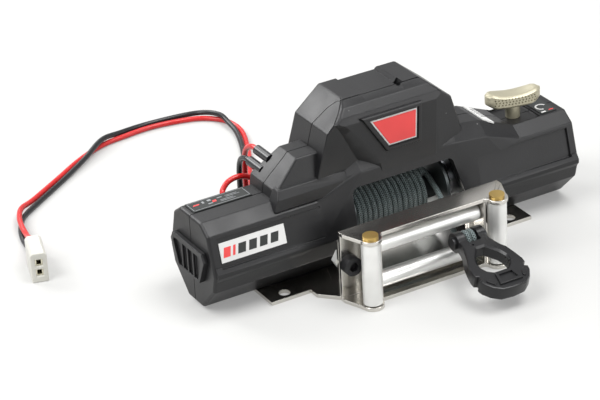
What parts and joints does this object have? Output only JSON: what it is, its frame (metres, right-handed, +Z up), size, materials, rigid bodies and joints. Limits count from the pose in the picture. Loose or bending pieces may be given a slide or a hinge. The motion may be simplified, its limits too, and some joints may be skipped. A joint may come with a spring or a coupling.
{
  "type": "electric recovery winch",
  "caption": "Small electric winch with a planetary drive, a roped drum, a roller fairlead, a ring hook on a pin, a clutch lever and a two-wire lead with a plug.",
  "frame": {"origin": "centre of the four mounting holes, on the underside of the base plate", "axes": "+X along the drum axis from the motor to the gears, -Y towards the hook, +Z up"},
  "size_m": [0.1218, 0.1295, 0.0404],
  "materials": {
    "housing_plastic": "satin moulded plastic with a fine speckle",
    "plated_sheet": "bright plated sheet",
    "roller_steel": "satin turned steel",
    "brass": "turned brass",
    "black_screw": "black oxide",
    "rope": "tight round braid",
    "hook_black": "satin black",
    "lever_plate": "pale warm plated metal",
    "label_white": "printed film",
    "label_dark": "printed film",
    "label_silver": "printed film",
    "badge_red": "plain gloss with a pale rim",
    "sheet_steel": "plain sheet",
    "drum_metal": "turned, satin",
    "motor_steel": "drawn and plated",
    "magnet": "sintered",
    "bell_plastic": "moulded",
    "carbon": "pressed carbon",
    "copper": "copper windings and segments",
    "shaft_steel": "ground",
    "gear_steel": "hobbed, oiled",
    "lead_red": "glossy insulation",
    "lead_black": "glossy insulation",
    "plug_plastic": "milky moulded plastic",
    "contact_metal": "tinned spring metal"
  },
  "bodies": {
    "housing": {"front_housing": "housing_plastic", "rear_housing": "housing_plastic", "end_plate": "housing_plastic", "badge_plate": "badge_red", "side_label": "label_white", "top_label": "label_dark", "clutch_labels": "label_silver", "housing_screws": "black_screw", "mount_plate": "plated_sheet", "fairlead_frame": "plated_sheet", "fairlead_bolts": "black_screw", "fairlead_nuts": "roller_steel", "upright_pins": "brass", "level_pins": "shaft_steel", "bearing_plate_left": "sheet_steel", "bearing_plate_right": "sheet_steel", "base_screws": "black_screw", "drum_bush_left": "gear_steel", "drum_bush_right": "gear_steel", "rope_lead": "rope", "rope_eye": "rope", "motor_can": "motor_steel", "motor_magnets": "magnet", "motor_end_bell": "bell_plastic", "motor_brushes": "carbon", "motor_terminals": "contact_metal", "gear_case": "sheet_steel", "gear_case_cover": "sheet_steel", "ring_gear": "gear_steel", "lead_red": "lead_red", "lead_black": "lead_black", "motor_lead_red": "lead_red", "lead_sleeves": "lead_black", "plug_housing": "plug_plastic", "plug_contacts": "contact_metal"},
    "drum": {"drum": "drum_metal", "rope_wraps": "rope", "output_carrier": "gear_steel"},
    "input_carrier": {"input_carrier": "gear_steel"},
    "drive": {"motor_shaft": "shaft_steel", "armature": "copper", "commutator": "copper", "shaft_coupling": "brass", "drive_shaft": "shaft_steel", "sun_gear": "gear_steel"},
    "input_planet_a": {"input_planet_a": "gear_steel"},
    "input_planet_b": {"input_planet_b": "gear_steel"},
    "input_planet_c": {"input_planet_c": "gear_steel"},
    "output_planet_a": {"output_planet_a": "gear_steel"},
    "output_planet_b": {"output_planet_b": "gear_steel"},
    "output_planet_c": {"output_planet_c": "gear_steel"},
    "roller_left": {"roller_left": "roller_steel"},
    "roller_right": {"roller_right": "roller_steel"},
    "roller_upper": {"roller_upper": "roller_steel"},
    "roller_lower": {"roller_lower": "roller_steel"},
    "hook": {"hook": "hook_black", "clevis_pin": "black_screw", "pin_lock_screw": "black_screw"},
    "clutch": {"clutch_lever": "lever_plate", "clutch_spindle": "shaft_steel"}
  },
  "joints": [
    {"name": "drum_spin", "type": "hinge", "parent": "housing", "child": "drum", "pos_m": [0, 0, 0.01165], "axis": [1, 0, 0], "continuous": true},
    {"name": "input_carrier_spin", "type": "hinge", "parent": "housing", "child": "input_carrier", "pos_m": [0.0275, 0, 0.01165], "axis": [1, 0, 0], "continuous": true},
    {"name": "drive_spin", "type": "hinge", "parent": "housing", "child": "drive", "pos_m": [0, 0, 0.01165], "axis": [1, 0, 0], "continuous": true},
    {"name": "input_planet_a_spin", "type": "hinge", "parent": "input_carrier", "child": "input_planet_a", "pos_m": [0.0305, 0, 0.01615], "axis": [1, 0, 0], "continuous": true},
    {"name": "output_planet_a_spin", "type": "hinge", "parent": "drum", "child": "output_planet_a", "pos_m": [0.0245, 0, 0.01615], "axis": [1, 0, 0], "continuous": true},
    {"name": "input_planet_b_spin", "type": "hinge", "parent": "input_carrier", "child": "input_planet_b", "pos_m": [0.0305, -0.0039, 0.0094], "axis": [1, 0, 0], "continuous": true},
    {"name": "output_planet_b_spin", "type": "hinge", "parent": "drum", "child": "output_planet_b", "pos_m": [0.0245, -0.0039, 0.0094], "axis": [1, 0, 0], "continuous": true},
    {"name": "input_planet_c_spin", "type": "hinge", "parent": "input_carrier", "child": "input_planet_c", "pos_m": [0.0305, 0.0039, 0.0094], "axis": [1, 0, 0], "continuous": true},
    {"name": "output_planet_c_spin", "type": "hinge", "parent": "drum", "child": "output_planet_c", "pos_m": [0.0245, 0.0039, 0.0094], "axis": [1, 0, 0], "continuous": true},
    {"name": "roller_left_spin", "type": "hinge", "parent": "housing", "child": "roller_left", "pos_m": [-0.0164, -0.0233, 0.0086], "axis": [0, 0, 1], "continuous": true},
    {"name": "roller_right_spin", "type": "hinge", "parent": "housing", "child": "roller_right", "pos_m": [0.0164, -0.0233, 0.0086], "axis": [0, 0, 1], "continuous": true},
    {"name": "roller_upper_spin", "type": "hinge", "parent": "housing", "child": "roller_upper", "pos_m": [0, -0.0199, 0.01295], "axis": [1, 0, 0], "continuous": true},
    {"name": "roller_lower_spin", "type": "hinge", "parent": "housing", "child": "roller_lower", "pos_m": [0, -0.0199, 0.00405], "axis": [1, 0, 0], "continuous": true},
    {"name": "hook_swing", "type": "hinge", "parent": "housing", "child": "hook", "pos_m": [0.0079, -0.0243, 0.0096], "axis": [-1, 0, 0], "range_deg": [0, 60]},
    {"name": "clutch_turn", "type": "hinge", "parent": "housing", "child": "clutch", "pos_m": [0.0366, 0, 0.025], "axis": [0, 0, 1], "range_deg": [0, 90]}
  ],
  "couplings": [
    {"joint": "input_carrier_spin", "follows": "drum_spin", "ratio": 4},
    {"joint": "drive_spin", "follows": "drum_spin", "ratio": 16},
    {"joint": "input_planet_a_spin", "follows": "drum_spin", "ratio": -12},
    {"joint": "output_planet_a_spin", "follows": "drum_spin", "ratio": -3},
    {"joint": "input_planet_b_spin", "follows": "drum_spin", "ratio": -12},
    {"joint": "output_planet_b_spin", "follows": "drum_spin", "ratio": -3},
    {"joint": "input_planet_c_spin", "follows": "drum_spin", "ratio": -12},
    {"joint": "output_planet_c_spin", "follows": "drum_spin", "ratio": -3}
  ]
}
